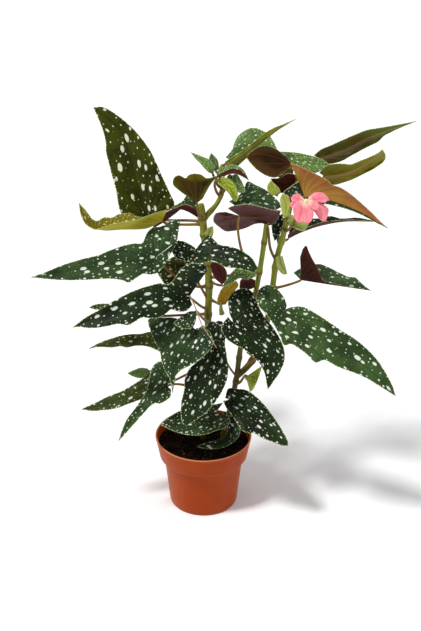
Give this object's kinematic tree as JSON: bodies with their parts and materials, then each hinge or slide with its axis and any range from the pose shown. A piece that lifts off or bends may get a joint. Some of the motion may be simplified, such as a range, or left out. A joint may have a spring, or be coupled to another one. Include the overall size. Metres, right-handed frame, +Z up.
{
  "type": "potted begonia",
  "caption": "Spotted cane begonia with drooping pointed leaves and a small pink flower cluster, growing in a round plastic nursery pot.",
  "frame": {"origin": "centre of the pot's underside, on the surface that it stands on", "axes": "+Z up, -Y to the front, where most leaves face, +X to the right seen from the front"},
  "size_m": [0.4324, 0.1947, 0.5003],
  "materials": {
    "backlit_leaf": "satin",
    "bright_leaf": "satin",
    "brown_underside": "satin",
    "maroon_underside": "satin",
    "olive_underside": "satin",
    "orange_underside": "satin",
    "petal": "matte",
    "pot_plastic": "satin",
    "potting_mix": "matte",
    "spotted_leaf": "satin",
    "stem": "satin",
    "yellow_leaf": "satin",
    "young_leaf": "satin"
  },
  "bodies": {
    "root": {"bract_dry": "yellow_leaf", "bract_flower": "young_leaf", "bract_lower": "bright_leaf", "bract_upper": "bright_leaf", "cane_left": "stem", "cane_right": "stem", "flower_stalk": "petal", "leaf_behind_cane": "maroon_underside", "leaf_behind_folded": "spotted_leaf", "leaf_behind_saddle": "backlit_leaf", "leaf_beside_saddle": "spotted_leaf", "leaf_between_canes": "spotted_leaf", "leaf_big_right": "spotted_leaf", "leaf_centre_left": "spotted_leaf", "leaf_centre_right": "spotted_leaf", "leaf_cupped": "olive_underside", "leaf_dark_brown": "brown_underside", "leaf_folded_purple": "maroon_underside", "leaf_hanging": "spotted_leaf", "leaf_inner_brown": "spotted_leaf", "leaf_long_folded": "backlit_leaf", "leaf_long_second": "spotted_leaf", "leaf_long_upper": "spotted_leaf", "leaf_low_down": "spotted_leaf", "leaf_low_green": "young_leaf", "leaf_low_upper": "spotted_leaf", "leaf_narrow_olive": "backlit_leaf", "leaf_olive_below": "olive_underside", "leaf_on_soil": "spotted_leaf", "leaf_orange_brown": "orange_underside", "leaf_over_rim": "spotted_leaf", "leaf_over_soil": "spotted_leaf", "leaf_pale_edge": "spotted_leaf", "leaf_pale_small": "yellow_leaf", "leaf_pointing_up": "olive_underside", "leaf_red_brown": "maroon_underside", "leaf_saddle": "spotted_leaf", "leaf_shoot_bright": "bright_leaf", "leaf_shoot_left": "young_leaf", "leaf_shoot_mottled": "young_leaf", "leaf_shoot_right": "spotted_leaf", "leaf_shoot_top": "young_leaf", "leaf_small_behind": "spotted_leaf", "leaf_small_folded": "maroon_underside", "leaf_small_maroon": "maroon_underside", "leaf_small_wine": "maroon_underside", "leaf_speckled_small": "young_leaf", "leaf_spotted_left": "spotted_leaf", "leaf_spotted_top": "spotted_leaf", "leaf_strip": "maroon_underside", "leaf_tall": "backlit_leaf", "leaf_yellow_curled": "yellow_leaf", "petal_left": "petal", "petal_lower_left": "petal", "petal_lower_right": "petal", "petal_upper_right": "petal", "pot": "pot_plastic", "sheath_hanging": "young_leaf", "sheath_left": "young_leaf", "soil": "potting_mix"}
  },
  "joints": []
}
